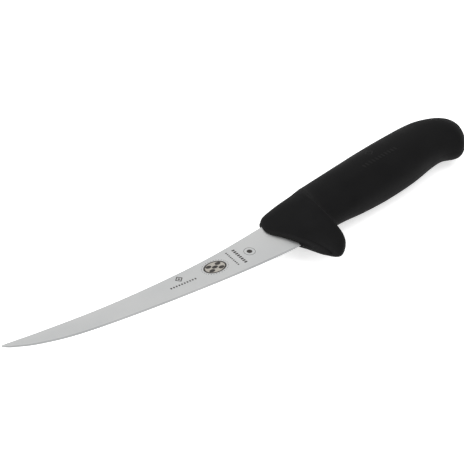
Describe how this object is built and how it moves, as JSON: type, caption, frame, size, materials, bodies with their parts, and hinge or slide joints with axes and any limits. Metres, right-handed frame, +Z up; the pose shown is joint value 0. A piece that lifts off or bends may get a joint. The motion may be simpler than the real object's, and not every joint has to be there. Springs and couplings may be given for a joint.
{
  "type": "boning knife",
  "caption": "Curved boning knife with a narrow upswept ground-steel blade and a black moulded grip with finger guard and hooked butt.",
  "frame": {"origin": "bottom centre of the knife's box, with the knife lying flat on its side", "axes": "+X from the point to the butt, +Y from the edge to the spine, +Z up through the knife's thickness"},
  "size_m": [0.2916, 0.0676, 0.0232],
  "materials": {
    "ground_steel": "satin, finely ground from spine to edge",
    "core_plastic": "as moulded",
    "grip_elastomer": "matte with a fine moulded grain"
  },
  "bodies": {
    "root": {"blade": "ground_steel", "handle_core": "core_plastic", "grip": "grip_elastomer"}
  },
  "joints": []
}
